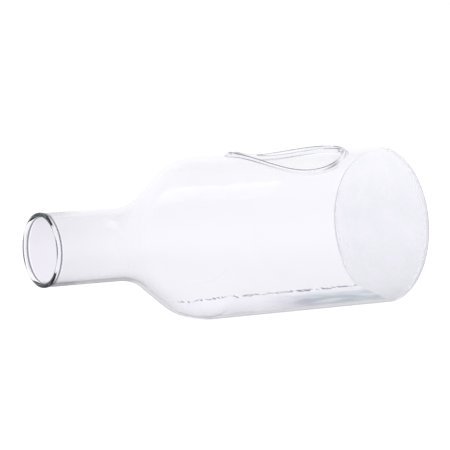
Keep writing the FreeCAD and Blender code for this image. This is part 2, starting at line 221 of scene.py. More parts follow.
def wall_radius(x, angle, inside):
    """Distance from the bottle's axis to its outer or inner skin. The angle is counted from the top."""
    inset = WALL if inside else 0.0
    down = -np.cos(angle)
    underneath = down > SOLE_REACH
    sole = np.where(underneath, (S["axis"] - inset) / np.maximum(down, SOLE_REACH), FAR_AWAY)
    settle = np.clip((x - S["neck_end"]) / SETTLE, 0, 1) * np.clip((S["base_seam"] - x) / SETTLE, 0, 1)
    radius = soft_minimum(round_radius(x, inset), sole, SOLE_BLEND)
    radius = radius + hand_made(x, angle, inset) * settle * (down < SOLE_REACH)
    if inside:
        return radius
    distance, lift, bead = edge_distance(x, angle * MIDDLE)
    height = lift + bead - WALL / 2
    arch = np.sqrt(np.clip(1 - (distance / bead) ** 2, 0, None))
    crest = MIDDLE + WALL / 2 + np.where(distance < bead, height * arch, BEAD_FLANK * (bead - distance))
    return -soft_minimum(-radius, -crest, BEAD_VALLEY)


def on_wall(x, angle, radius):
    """Points in the row frame from cylinder coordinates round the bottle's axis."""
    x, angle, radius = np.broadcast_arrays(x, angle, radius)
    return np.stack([x, radius * np.sin(angle), S["axis"] + radius * np.cos(angle)], axis=-1)


def unit(vectors):
    """The same directions, all of length one."""
    length = np.linalg.norm(vectors, axis=-1, keepdims=True)
    return vectors / np.maximum(length, 1e-12)


def skin(x, angle, inside):
    """Points of the outer or inner skin and the glass's outward normals there."""
    x, angle = np.broadcast_arrays(np.asarray(x, float), np.asarray(angle, float))
    step = 0.05 * MM
    radius = wall_radius(x, angle, inside)
    along = (wall_radius(x + step, angle, inside) - wall_radius(x - step, angle, inside)) / (2 * step)
    turn = step / MIDDLE
    across = wall_radius(x, angle + turn, inside) - wall_radius(x, angle - turn, inside)
    across = across / (2 * turn * radius)
    outward = np.stack([np.zeros_like(x), np.sin(angle), np.cos(angle)], axis=-1)
    sideways = np.stack([np.zeros_like(x), np.cos(angle), -np.sin(angle)], axis=-1)
    normal = unit(outward - along[..., None] * np.array([1.0, 0, 0]) - across[..., None] * sideways)
    return on_wall(x, angle, radius), (-normal if inside else normal)


# ---------------------------------------------------------------- mesh building

GLASS, WELD = 0, 1                       # material slots of each piece
SAME_PLACE = 0.0001 * MM                 # points closer than this are one


class Shell:
    """Collects grids of quads with their own normals and joins them into one closed mesh."""

    def __init__(self):
        self.points, self.normals, self.faces, self.slots = [], [], [], []
        self.count = 0

    def grid(self, points, normals, slot=GLASS, flip=False, keep=None):
        """Quads between neighbouring rows and columns. keep says which quads are wanted."""
        rows, columns = points.shape[:2]
        index = self.count + np.arange(rows * columns).reshape(rows, columns)
        quads = np.stack([index[:-1, :-1], index[1:, :-1], index[1:, 1:], index[:-1, 1:]], axis=-1)
        if flip:
            quads = quads[..., ::-1]
        quads = quads[keep] if keep is not None else quads.reshape(-1, 4)
        self.points.append(points.reshape(-1, 3))
        self.normals.append(normals.reshape(-1, 3))
        self.faces.append(quads)
        self.slots.append(np.full(len(quads), slot))
        self.count += rows * columns

    def seam(self, first, second, normal, flip=False):
        """Quads between two rows of points, where the glass of a neighbour begins."""
        points = np.stack([first, second])
        self.grid(points, np.broadcast_to(np.asarray(normal, float), points.shape), WELD, flip)

    def build(self, name, materials):
        """The finished object: points at one place become one, and quads that close up become triangles."""
        points, normals = np.concatenate(self.points), np.concatenate(self.normals)
        faces, slots = np.concatenate(self.faces), np.concatenate(self.slots)
        cells = np.round(points / SAME_PLACE).astype(np.int64)
        _, first, joined = np.unique(cells, axis=0, return_index=True, return_inverse=True)
        joined = joined.ravel()
        corners, face_list, slot_list = [], [], []
        for face, slot in zip(faces, slots):
            before = np.roll(face, 1)
            ring = [corner for corner, last in zip(face, before) if joined[corner] != joined[last]]
            if len({joined[corner] for corner in ring}) < 3:
                continue
            face_list.append([int(joined[corner]) for corner in ring])
            slot_list.append(int(slot))
            corners.extend(ring)
        mesh = bpy.data.meshes.new(name)
        mesh.from_pydata(points[first].tolist(), [], face_list)
        mesh.polygons.foreach_set("material_index", slot_list)
        mesh.polygons.foreach_set("use_smooth", [True] * len(face_list))
        mesh.update()
        mesh.normals_split_custom_set(normals[corners].tolist())
        for material in materials:
            mesh.materials.append(material)
        piece = bpy.data.objects.new(name, mesh)
        bpy.context.scene.collection.objects.link(piece)
        return piece


def stations(low, high):
    """Even places between two, about a grid's division apart."""
    return np.linspace(low, high, max(2, round((high - low) / GRID) + 1))


ANGLES = np.linspace(-math.pi, math.pi, ROUND + 1)
TO_MOUTH, TO_BASE = (-1.0, 0.0, 0.0), (1.0, 0.0, 0.0)


def tube_piece(name, low, high, materials):
    """A stretch of the vessel's wall, closed at both ends by the seams with its neighbours."""
    shell = Shell()
    x = stations(low, high)[:, None]
    outer, outer_normals = skin(x, ANGLES[None, :], False)
    inner, inner_normals = skin(x, ANGLES[None, :], True)
    shell.grid(outer, outer_normals)
    shell.grid(inner, inner_normals, flip=True)
    shell.seam(outer[0], inner[0], TO_MOUTH, flip=True)
    shell.seam(outer[-1], inner[-1], TO_BASE)
    return shell.build(name, materials)


# ---------------------------------------------------------------- body with the teardrop cut out

# The box on the unrolled wall that the opening's mesh fits in.
PATCH_LOW = TIP_X - 16 * MM
PATCH_HIGH = END_X + 16 * MM
PATCH_HALF = HALF_WIDTH + 15 * MM


def loop_sections(count):
    """The bead's centreline and outward direction at each of the loop's places, tip first."""
    half = count // 2
    line = centreline(half - FAN + 1)
    tangent = unit(np.gradient(line[:, :2], axis=0))
    tangent[0], tangent[-1] = (1, 0), (0, -1)
    direction = np.stack([-tangent[:, 1], tangent[:, 0]], axis=1)
    turn = np.linspace(math.pi, math.pi / 2, FAN, endpoint=False)
    fan_direction = np.stack([np.cos(turn), np.sin(turn)], axis=1)
    centre = np.concatenate([np.repeat(line[:1], FAN, axis=0), line])
    direction = np.concatenate([fan_direction, direction])
    mirror = np.array([1, -1])
    far_centre = centre[-2:0:-1] * np.array([1, -1, 1, 1])
    return (np.concatenate([centre, far_centre]),
            np.concatenate([direction, direction[-2:0:-1] * mirror]))


def patch_frame(x, angles):
    """Rows and columns of the body's grid that hold the opening, and their outline from the tip round."""
    rows = np.flatnonzero((x > PATCH_LOW) & (x < PATCH_HIGH))
    columns = np.flatnonzero(np.abs(angles * MIDDLE) < PATCH_HALF)
    top, bottom, left, right = columns[-1], columns[0], rows[0], rows[-1]
    middle = ROUND // 2
    outline = [(left, column) for column in range(middle, top)]
    outline += [(row, top) for row in range(left, right)]
    outline += [(right, column) for column in range(top, bottom, -1)]
    outline += [(row, bottom) for row in range(right, left, -1)]
    outline += [(left, column) for column in range(bottom, middle)]
    return left, right, bottom, top, np.array(outline)


def relaxed_rings(inner, outer, rings):
    """Rings of points between two loops, evened out so that the quads don't fold."""
    share = np.linspace(0, 1, rings + 1) ** 1.3          # closer together near the inner loop
    grid = inner[None] + share[:, None, None] * (outer - inner)[None]
    for _ in range(EVENINGS):
        around = (np.roll(grid, 1, axis=1) + np.roll(grid, -1, axis=1))[1:-1]
        grid[1:-1] = 0.5 * grid[1:-1] + 0.125 * (around + grid[2:] + grid[:-2])
    return grid


def body_piece(name, materials):
    """The wide tube with its flattened sole and the teardrop opening."""
    shell = Shell()
    x = stations(S["body_start"], S["base_seam"])
    left, right, bottom, top, outline = patch_frame(x, ANGLES)
    outside_patch = np.ones((len(x) - 1, ROUND), bool)
    outside_patch[left:right, bottom:top] = False
    corner = np.stack([x[outline[:, 0]], ANGLES[outline[:, 1]] * MIDDLE], axis=1)
    centre, direction = loop_sections(len(outline))
    seam = centre[:, :2] + direction * RIM_SEAM
    rings = relaxed_rings(seam, corner, RINGS)
    rings = np.concatenate([rings, rings[:, :1]], axis=1)
    seams = []
    for inside in (False, True):
        points, normals = skin(x[:, None], ANGLES[None, :], inside)
        shell.grid(points, normals, flip=inside, keep=outside_patch)
        patch_points, patch_normals = skin(rings[..., 0], rings[..., 1] / MIDDLE, inside)
        shell.grid(patch_points, patch_normals, flip=not inside)
        seams.append((points[0], points[-1], patch_points[0]))
    (outer_start, outer_end, outer_seam), (inner_start, inner_end, inner_seam) = seams
    shell.seam(outer_start, inner_start, TO_MOUTH, flip=True)
    shell.seam(outer_end, inner_end, TO_BASE)
    shell.seam(outer_seam, inner_seam, TO_BASE)
    return shell.build(name, materials), len(outline)


def rim_piece(name, count, materials):
    """Thickened, fire-polished edge of the opening: a bead on its inner side, blending into the wall."""
    centre, direction = loop_sections(count)
    centre = np.concatenate([centre, centre[:1]])
    direction = np.concatenate([direction, direction[:1]])
    out = np.linspace(RIM_SEAM, 0, RIM_ROWS)
    turn = np.linspace(math.pi / 2, -math.pi / 2, RIM_TURN)[1:-1]
    shell = Shell()
    sides = {}
    for inside in (False, True):
        place = centre[:, None, :2] + direction[:, None] * out[None, :, None]
        points, normals = skin(place[..., 0], place[..., 1] / MIDDLE, inside)
        shell.grid(points, normals, flip=not inside)
        sides[inside] = points
    # The opening's edge is rounded from the bead's crest down to the wall's inner skin, and each
    # half of it is kept to its own side of the bottle's middle plane.
    reach = -centre[:, None, 3] * np.cos(turn)
    own_side = np.sign(np.where(np.abs(centre[:, 1]) > ON_PLANE, centre[:, 1], direction[:, 1]))[:, None]
    place = centre[:, None, :2] + direction[:, None] * reach[:, :, None]
    crossed = place[..., 1] * own_side < 0
    slant = np.where(np.abs(direction[:, 1]) > 1e-3, direction[:, 1], 1e-3)[:, None]
    stop = -centre[:, None, 1] / slant
    stopped = centre[:, None, :2] + direction[:, None] * stop[..., None]
    stopped[..., 1] = 0
    place = np.where(crossed[..., None], stopped, place)
    angle = centre[:, 1] / MIDDLE
    crest = wall_radius(centre[:, 0], np.abs(angle), False)[:, None]
    foot = wall_radius(centre[:, 0], np.abs(angle), True)[:, None]
    radius = (crest + foot) / 2 + (crest - foot) / 2 * np.sin(turn)[None, :]
    inner_points = on_wall(place[..., 0], place[..., 1] / MIDDLE, radius)
    outward = np.stack([np.zeros_like(angle), np.sin(angle), np.cos(angle)], axis=-1)[:, None]
    sideways = np.stack([np.zeros_like(angle), np.cos(angle), -np.sin(angle)], axis=-1)
    lateral = (direction[:, :1] * np.array([1.0, 0, 0]) + direction[:, 1:] * sideways)[:, None]
    flatness = (centre[:, None, 3] / ((crest - foot) / 2))[..., None]
    sine, cosine = np.sin(turn)[None, :, None], np.cos(turn)[None, :, None]
    inner_normals = flatness * sine * outward - cosine * lateral
    points = np.concatenate([sides[False][:, -1:], inner_points, sides[True][:, -1:]], axis=1)
    normals = np.concatenate([outward, inner_normals, -outward], axis=1)
    quad_crossed = np.abs(points[:-1, :, 1]) + np.abs(points[1:, :, 1]) < ON_PLANE
    keep = ~(quad_crossed[:, :-1] & quad_crossed[:, 1:])
    shell.grid(points, unit(normals), flip=True, keep=keep)
    shell.seam(sides[False][:, 0], sides[True][:, 0], TO_MOUTH, flip=True)
    return shell.build(name, materials)


# ---------------------------------------------------------------- mouth and base

def arc(centre, radius, start, end, steps):
    """Points and outward normals of an arc in the lip's section, from one direction to another."""
    turn = np.radians(np.linspace(start, end, steps))
    normal = np.stack([np.cos(turn), np.sin(turn)], axis=1)
    return np.array(centre) + radius * normal, normal


def lip_piece(name, materials):
    """Fire-polished bead at the mouth: rounder than the wall on both sides, with a valley behind it."""
    bead = (S["lip_outside"] - S["lip_bore"]) / 2
    middle = S["lip_bore"] + bead
    seam = S["lip_seam"] - S["mouth"]
    out_step, in_step = S["lip_outside"] - S["neck"], BORE - S["lip_bore"]
    out_bend, in_bend = LIP_BEND, LIP_BEND * in_step / out_step
    lean = math.degrees(math.acos(1 - out_step / (2 * out_bend)))
    reach = math.sin(math.radians(lean))
    sections = [
        arc((LIP_FLANK + 2 * out_bend * reach, S["neck"] + out_bend), -out_bend, 90, 90 - lean, BEND_TURN),
        arc((LIP_FLANK, S["lip_outside"] - out_bend), out_bend, 90 - lean, 90, BEND_TURN),
        arc((bead, middle), bead, 90, 270, LIP_TURN),
        arc((LIP_FLANK, S["lip_bore"] + in_bend), in_bend, 270, 270 + lean, BEND_TURN),
        arc((LIP_FLANK + 2 * in_bend * reach, BORE - in_bend), -in_bend, 270 + lean, 270, BEND_TURN),
    ]
    outside_end = (np.array([[seam, S["neck"]]]), np.array([[0.0, 1.0]]))
    inside_end = (np.array([[seam, BORE]]), np.array([[0.0, -1.0]]))
    sections = [outside_end, *sections, inside_end]
    outline, facing = (np.concatenate(parts) for parts in zip(*sections))
    shell = Shell()
    points = on_wall(S["mouth"] + outline[:, :1], ANGLES[None, :], outline[:, 1:])
    turned = on_wall(facing[:, :1], ANGLES[None, :], facing[:, 1:]) - np.array([0, 0, S["axis"]])
    shell.grid(points, turned, flip=True)
    shell.seam(points[0], points[-1], TO_BASE)
    return shell.build(name, materials)


def base_piece(name, materials):
    """Flat disc across the end of the body, with a small rounded heel."""
    shell = Shell()
    outline = wall_radius(S["base_seam"] + 0 * ANGLES, ANGLES, False)
    inner_outline = wall_radius(S["base_seam"] + 0 * ANGLES, ANGLES, True)
    turn = np.linspace(0, math.pi / 2, BEND_TURN)
    side_x = np.concatenate([[S["base_seam"]], S["base_end"] - HEEL + HEEL * np.sin(turn)])
    side_inset = np.concatenate([[0], HEEL * (1 - np.cos(turn))])
    side_turn = np.concatenate([[0], turn])
    points = on_wall(side_x[:, None], ANGLES[None, :], outline[None, :] - side_inset[:, None])
    _, around = skin(S["base_seam"] + 0 * ANGLES, ANGLES, False)
    side_turn = side_turn[:, None, None]
    side_normal = around[None] * np.cos(side_turn) + np.array(TO_BASE) * np.sin(side_turn)
    shell.grid(points, unit(side_normal))
    share = np.linspace(1, 0, DISC_ROWS)[:, None]
    outer_face = on_wall(S["base_end"] + 0 * share, ANGLES[None, :], (outline - HEEL)[None, :] * share)
    inner_face = on_wall(S["base_seam"] + 0 * share, ANGLES[None, :], inner_outline[None, :] * share)
    shell.grid(outer_face, np.broadcast_to(TO_BASE, outer_face.shape))
    shell.grid(inner_face, np.broadcast_to(TO_MOUTH, inner_face.shape), flip=True)
    shell.seam(points[0], inner_face[0], TO_MOUTH, flip=True)
    return shell.build(name, materials)


# ---------------------------------------------------------------- shader nodes

def new_material(name):
    """An empty node material and its output node."""
    material = bpy.data.materials.new(name)
    material.use_nodes = True
    material.node_tree.nodes.clear()
    output = material.node_tree.nodes.new("ShaderNodeOutputMaterial")
    return material, material.node_tree, output


def node(tree, kind, **settings):
    """A new node of one kind, with its settings."""
    made = tree.nodes.new(kind)
    for key, value in settings.items():
        setattr(made, key, value)
    return made


def link(tree, source, target):
    """Feed a node input from another node's output, or with a plain number or colour."""
    if isinstance(source, bpy.types.NodeSocket):
        tree.links.new(source, target)
    else:
        target.default_value = source


def calculate(tree, operation, first, second=0.0):
    """The result of one piece of arithmetic."""
    made = node(tree, "ShaderNodeMath", operation=operation)
    link(tree, first, made.inputs[0])
    link(tree, second, made.inputs[1])
    return made.outputs[0]


def product(tree, *factors):
    """All the factors multiplied together."""
    result = factors[0]
    for factor in factors[1:]:
        result = calculate(tree, "MULTIPLY", result, factor)
    return result


def smooth_step(tree, value, low, high, from_value=0.0, to_value=1.0):
    """Turn a value between low and high smoothly into from_value to to_value."""
    step = node(tree, "ShaderNodeMapRange", interpolation_type="SMOOTHSTEP")
    for source, target in zip((value, low, high, from_value, to_value), step.inputs[:5]):
        link(tree, source, target)
    return step.outputs[0]


def blend_colours(tree, share, first, second):
    """The first colour where share is 0, the second where it is 1."""
    made = node(tree, "ShaderNodeMix", data_type="RGBA")
    link(tree, share, made.inputs[0])
    link(tree, first, made.inputs[6])
    link(tree, second, made.inputs[7])
    return made.outputs[2]


def blend_surfaces(tree, share, first, second):
    """The first surface where share is 0, the second where it is 1."""
    made = node(tree, "ShaderNodeMixShader")
    for source, target in zip((share, first, second), made.inputs):
        link(tree, source, target)
    return made.outputs[0]


def split_vector(tree, vector):
    """The three parts of a vector."""
    made = node(tree, "ShaderNodeSeparateXYZ")
    link(tree, vector, made.inputs[0])
    return tuple(made.outputs)


def stretched(tree, place, factors):
    """A place scaled along each axis: a factor below 1 makes a pattern longer that way."""
    made = node(tree, "ShaderNodeVectorMath", operation="MULTIPLY")
    link(tree, place, made.inputs[0])
    made.inputs[1].default_value = factors
    return made.outputs[0]


def place_on_bottle(tree):
    """The point's x, y and z in the row frame, and all three as one vector."""
    place = node(tree, "ShaderNodeTexCoord").outputs["Object"]
    return (*split_vector(tree, place), place)


def from_axis(tree, y, z):
    """Distance from the bottle's axis."""
    up = calculate(tree, "SUBTRACT", z, S["axis"])
    squares = calculate(tree, "ADD", calculate(tree, "POWER", y, 2.0), calculate(tree, "POWER", up, 2.0))
    return calculate(tree, "SQRT", squares)


def noise(tree, place, grain, detail):
    """Soft noise between 0 and 1 whose lumps are about one grain across."""
    made = node(tree, "ShaderNodeTexNoise")
    made.inputs["Scale"].default_value = 1 / grain
    made.inputs["Detail"].default_value = detail
    link(tree, place, made.inputs["Vector"])
    return made.outputs["Fac"]


def dots(tree, place, grain, outside, inside):
    """1 in scattered dots about one grain apart. Outside and inside are a dot's soft edge, in grains."""
    made = node(tree, "ShaderNodeTexVoronoi")
    made.inputs["Scale"].default_value = 1 / grain
    link(tree, place, made.inputs["Vector"])
    return smooth_step(tree, made.outputs["Distance"], outside, inside)


def bump(tree, height, depth):
    """Small relief of the surface, depth given as a length."""
    made = node(tree, "ShaderNodeBump")
    made.inputs["Strength"].default_value = 1.0
    made.inputs["Distance"].default_value = depth
    link(tree, height, made.inputs["Height"])
    return made.outputs[0]


# ---------------------------------------------------------------- light in the glass

# Colours: the share of red, green and blue light that comes through a surface, or back from it.
THROUGH = (0.99, 0.99, 0.995, 1)         # light that goes straight through
EDGE_SHADE = (0.10, 0.09, 0.14, 1)            # painted shade for glass seen edge on, and for dark outline lines
LOSS_SHADE_GREEN = (0.004, 0.018, 0.020, 1)    # painted dark green shade where light has run a long way inside the glass


def ray(tree, fact):
    """A fact about the light that meets the surface, such as how often it has been mirrored."""
    return node(tree, "ShaderNodeLightPath").outputs[fact]


def inside_glass(tree):
    """1 where light meets the surface from within the glass."""
    return node(tree, "ShaderNodeNewGeometry").outputs["Backfacing"]


def mirrored_inside(tree, times):
    """1 where light within the glass has been mirrored at least that many times."""
    often = calculate(tree, "GREATER_THAN", ray(tree, "Glossy Depth"), times - 0.5)
    return product(tree, often, inside_glass(tree))


def long_way(tree, x):
    """1 where light that came in through the lip has gone a long way through the glass since then."""
    length = ray(tree, "Ray Length")
    backwards = split_vector(tree, node(tree, "ShaderNodeNewGeometry").outputs["Incoming"])[0]
    entry = calculate(tree, "ADD", x, product(tree, backwards, length))
    from_lip = smooth_step(tree, entry, LIP_END + 0.5 * MM, LIP_END - 0.5 * MM)
    return product(tree, smooth_step(tree, length, 4.5 * MM, 6.5 * MM), from_lip, inside_glass(tree))


def painted_loss_shade(tree, x, times):
    """1 where painted shade stands in for light that the glass loses: near the mouth where light was
    mirrored inside it that many times, and where it has gone a long way from the lip."""
    near_mouth = smooth_step(tree, x, S["mouth"] + 40 * MM, S["mouth"] + 15 * MM)
    return calculate(tree, "MAXIMUM", product(tree, near_mouth, mirrored_inside(tree, times)),
                     long_way(tree, x))


def limb(tree, start, end):
    """1 where the camera looks along the surface, 0 where it looks more squarely at it. start and end
    are measures of that: 0 for a surface seen face on, 1 for one seen edge on."""
    facing = node(tree, "ShaderNodeLayerWeight")
    facing.inputs["Blend"].default_value = 0.5
    seen = smooth_step(tree, facing.outputs["Facing"], start, end)
    return product(tree, seen, ray(tree, "Is Camera Ray"))


def film(tree, colour):
    """A surface that light goes straight through, with this colour of it left."""
    made = node(tree, "ShaderNodeBsdfTransparent")
    made.inputs[0].default_value = colour
    return made.outputs[0]


def glass_shader(tree, output, colour, roughness, clearness, loss_shade=0.0, shade_line=0.0, normal=None):
    """Glass that is painted dark where the loss shade or a painted shade line is set. It lets through the
    lamps' light and the light that matte surfaces gather. Any other light that has been mirrored twice
    inside it leaves it straight on."""
    glass = node(tree, "ShaderNodeBsdfPrincipled")
    glass.inputs["IOR"].default_value = 1.5
    link(tree, colour, glass.inputs["Base Color"])
    link(tree, roughness, glass.inputs["Roughness"])
    link(tree, clearness, glass.inputs["Transmission Weight"])
    if normal:
        link(tree, normal, glass.inputs["Normal"])
    # painted shade: a dark film where a shade line is set
    surface = blend_surfaces(tree, shade_line, glass.outputs[0], film(tree, EDGE_SHADE))
    # painted shade: a dark green film where the loss shade is set
    surface = blend_surfaces(tree, loss_shade, surface, film(tree, LOSS_SHADE_GREEN))
    leaving = product(tree, mirrored_inside(tree, 2), calculate(tree, "SUBTRACT", 1.0, loss_shade))
    passing = calculate(tree, "MAXIMUM", ray(tree, "Is Shadow Ray"), ray(tree, "Is Diffuse Ray"))
    passing = calculate(tree, "MAXIMUM", passing, leaving)
    surface = blend_surfaces(tree, passing, surface, film(tree, THROUGH))
    link(tree, surface, output.inputs["Surface"])


# ---------------------------------------------------------------- materials

LILAC = (0.98, 0.977, 0.99, 1)           # the wall's faint tint
NEAR_SHADED_LILAC = (0.90, 0.893, 0.915, 1)     # painted shade: what the camera sees of it on the near side, below the top
NECK_LILAC = (0.935, 0.93, 0.95, 1)      # stronger at the neck, deepening towards the mouth
# painted shade of the neck's tint on the near side
NEAR_SHADED_NECK_LILAC = (0.83, 0.82, 0.85, 1)
MOUTH_SHADE = (0.72, 0.69, 0.76, 1)      # and painted shade where the camera looks straight into the neck
POLISHED, POLISHED_GREEN = (0.97, 0.965, 0.985, 1), (0.95, 0.965, 0.975, 1)
SOLE_PALE, SOLE_SPECKS = (0.93, 0.93, 0.97, 1), (0.50, 0.47, 0.62, 1)
# painted shade on the sole, blue-grey turning teal towards the base
SOLE_SHADE_BLUE, SOLE_SHADE_TEAL = (0.36, 0.35, 0.47, 1), (0.33, 0.43, 0.48, 1)
SOLE_EDGE = (0.20, 0.18, 0.28, 1)
BASE_PALE, BASE_CLOUDS = (0.90, 0.885, 0.93, 1), (0.83, 0.87, 0.89, 1)
BASE_GRAINS, BASE_BORDER = (0.78, 0.77, 0.85, 1), (0.62, 0.60, 0.72, 1)
BASE_SIDE = (0.70, 0.69, 0.75, 1)

ACROSS = (1, 0.35, 1)                    # stretches dots across the sole
ALONG = (0.3, 1, 1)                      # and the painted shade's patches along it


def weld_material():
    """Seams inside the glass, where two hot-joined sections are one: nothing shows."""
    material, tree, output = new_material("weld")
    clear = node(tree, "ShaderNodeBsdfTransparent")
    link(tree, clear.outputs[0], output.inputs["Surface"])
    return material


def neck_inside(tree, x, y, z):
    """1 on the neck's inner skin where the camera sees it directly, through the open mouth."""
    inner = smooth_step(tree, from_axis(tree, y, z), BORE + WALL / 2, BORE + WALL / 4)
    in_neck = smooth_step(tree, x, S["neck_end"], S["neck_end"] - 15 * MM)
    return product(tree, inner, in_neck, ray(tree, "Is Camera Ray"))


def wall_tint(tree, x, y, z, place):
    """Colour of the clear wall, deeper towards the mouth, with painted shade on the near side below the top
    and inside the neck seen through the mouth.
    """
    streaks = smooth_step(tree, noise(tree, place, 18 * MM, 1.0), 0.2, 0.8, 0.75, 1.0)
    deepness = product(tree, smooth_step(tree, x, S["neck_end"] + 40 * MM, S["mouth"]), streaks)
    tint = blend_colours(tree, deepness, LILAC, NECK_LILAC)
    near_shaded_tint = blend_colours(tree, deepness, NEAR_SHADED_LILAC, NEAR_SHADED_NECK_LILAC)
    # painted shade: darker on the near side and lower down, for camera rays
    near_low_shade = product(tree, smooth_step(tree, y, 15 * MM, -10 * MM), ray(tree, "Is Camera Ray"),
                        smooth_step(tree, z, 118 * MM, 80 * MM))
    tint = blend_colours(tree, near_low_shade, tint, near_shaded_tint)
    # painted shade inside the neck where the camera looks through the mouth
    return blend_colours(tree, neck_inside(tree, x, y, z), tint, MOUTH_SHADE)


def sole_colours(tree, x, y, place):
    """Colour of the matte sole: pale and finely specked, with a painted blue-grey shade towards the base
    and on the near side.
    """
    specks = product(tree, dots(tree, stretched(tree, place, ACROSS), 1.6 * MM, 0.34, 0.12),
                     smooth_step(tree, y, 10 * MM, -12 * MM))
    ground = blend_colours(tree, specks, SOLE_PALE, SOLE_SPECKS)
    patches = noise(tree, stretched(tree, place, ALONG), 9 * MM, 6.0)
    # painted shade: darker towards the base and on the near side, in patches
    shade_cloud = product(tree, smooth_step(tree, x, 40 * MM, 85 * MM), smooth_step(tree, y, 20 * MM, -4 * MM),
                    smooth_step(tree, patches, 0.35, 0.6, 0.35, 1.0))
    blue = blend_colours(tree, smooth_step(tree, x, 60 * MM, 110 * MM), SOLE_SHADE_BLUE, SOLE_SHADE_TEAL)
    return blend_colours(tree, shade_cloud, ground, blue)


def sole_cover(tree, y, z, place):
    """Where the matte sole is, and where the dark dots along its ragged edge are."""
    wander = calculate(tree, "SUBTRACT", noise(tree, place, 7 * MM, 5.0), 0.5)
    across = calculate(tree, "ADD", calculate(tree, "ABSOLUTE", y), product(tree, wander, 14 * MM))
    underneath = smooth_step(tree, z, 1.2 * MM, 0.6 * MM)
    matte = product(tree, underneath, smooth_step(tree, across, SOLE_HALF + 0.5 * MM, SOLE_HALF - 0.5 * MM))
    from_edge = calculate(tree, "ABSOLUTE", calculate(tree, "SUBTRACT", across, SOLE_HALF))
    dark_edge = product(tree, smooth_step(tree, from_edge, 2.8 * MM, 1.2 * MM),
                        dots(tree, stretched(tree, place, ACROSS), 2.4 * MM, 0.62, 0.42), underneath)
    return matte, dark_edge


def wall_material():
    """Clear blown glass with painted shade along its lower outline, and the matte sole with its ragged
    edge.
    """
    material, tree, output = new_material("wall_glass")
    x, y, z, place = place_on_bottle(tree)
    in_neck = smooth_step(tree, x, S["neck_end"] + 20 * MM, S["neck_end"])
    # painted shade: the lower half darkens where the camera sees it edge on
    outline = product(tree, limb(tree, smooth_step(tree, in_neck, 0.0, 1.0, 0.78, 0.6), 0.9),
                      smooth_step(tree, z, S["axis"] + 20 * MM, S["axis"] - 20 * MM))
    # painted shade line along the lower edge of the neck, where it is seen edge on
    shade_line = product(tree, limb(tree, 0.8, 0.97), smooth_step(tree, in_neck, 0.0, 1.0, 0.0, 0.6),
                    smooth_step(tree, z, S["axis"] + 10 * MM, S["axis"] - 20 * MM))
    # painted shade where light runs long inside the glass near the mouth
    loss_shade = painted_loss_shade(tree, x, 2)
    matte, dark_edge = sole_cover(tree, y, z, place)
    cover = calculate(tree, "MAXIMUM", matte, dark_edge)
    # painted shade along the lower outline
    colour = blend_colours(tree, outline, wall_tint(tree, x, y, z, place), EDGE_SHADE)
    # painted shade: dark green colour where the loss shade is set
    colour = blend_colours(tree, loss_shade, colour, LOSS_SHADE_GREEN)
    colour = blend_colours(tree, matte, colour, sole_colours(tree, x, y, place))
    colour = blend_colours(tree, dark_edge, colour, SOLE_EDGE)
    clearness = smooth_step(tree, calculate(tree, "MAXIMUM", cover, loss_shade), 0.0, 1.0, 1.0, 0.05)
    glass_shader(tree, output, colour, product(tree, cover, 0.45), clearness, loss_shade, shade_line)
    return material


def edge_material():
    """Fire-polished glass of the lip and the rim, with a very slight ripple. Painted shade darkens it where
    it is seen edge on, and paints dark lines in the valley behind the lip's bead and on the near side of
    the rim's bead."""
    material, tree, output = new_material("edge_glass")
    x, y, z, place = place_on_bottle(tree)
    near_strand = product(tree, smooth_step(tree, y, 5 * MM, -5 * MM),
                          smooth_step(tree, x, END_X - 15 * MM, END_X - 30 * MM))
    # painted shade where the edge glass is seen edge on, stronger on the rim's near strand
    shade = calculate(tree, "MAXIMUM", limb(tree, 0.6, 0.85),
                      product(tree, limb(tree, 0.35, 0.7), near_strand))
    # painted shade line in the valley behind the lip's bead
    from_valley = calculate(tree, "ABSOLUTE", calculate(tree, "SUBTRACT", x, S["mouth"] + VALLEY_X))
    valley = product(tree, smooth_step(tree, from_valley, VALLEY_HALF, 0.5 * VALLEY_HALF),
                     ray(tree, "Is Camera Ray"))
    crest = smooth_step(tree, from_axis(tree, y, z), S["body"] + 0.5 * MM, S["body"] + 1.1 * MM, 0.0, 0.6)
    # painted shade line on the crest of the rim's near strand, where it is seen edge on
    shade_line = product(tree, limb(tree, 0.25, 0.55), crest, near_strand)
    # painted shade where light runs long inside the lip's glass
    loss_shade = painted_loss_shade(tree, x, 1)
    colour = blend_colours(tree, noise(tree, place, 6 * MM, 1.0), POLISHED, POLISHED_GREEN)
    # painted shade: edge-on darkening, then the valley line
    colour = blend_colours(tree, shade, colour, EDGE_SHADE)
    colour = blend_colours(tree, valley, colour, EDGE_SHADE)
    # painted shade: dark green colour where the loss shade is set
    colour = blend_colours(tree, loss_shade, colour, LOSS_SHADE_GREEN)
    ripple = bump(tree, noise(tree, place, 9 * MM, 0.0), 0.05 * MM)
    glass_shader(tree, output, colour, 0.0, calculate(tree, "SUBTRACT", 1.0, loss_shade), loss_shade, shade_line, ripple)
    return material


def base_colours(tree, place, border, limit):
    """Colour of the base's ground face: mottled, with dark dots along its ragged border."""
    grains = dots(tree, place, 2.4 * MM, 0.55, 0.2)
    clouds = smooth_step(tree, noise(tree, place, 22 * MM, 3.0), 0.35, 0.65)
    colour = blend_colours(tree, clouds, BASE_PALE, BASE_CLOUDS)
    colour = blend_colours(tree, product(tree, grains, 0.5), colour, BASE_GRAINS)
    from_border = calculate(tree, "ABSOLUTE", calculate(tree, "SUBTRACT", border, limit))
    dark_ring = product(tree, smooth_step(tree, from_border, 1.0 * MM, 0.4 * MM),
                        dots(tree, place, 2.2 * MM, 0.5, 0.3))
    return blend_colours(tree, dark_ring, colour, BASE_BORDER), grains


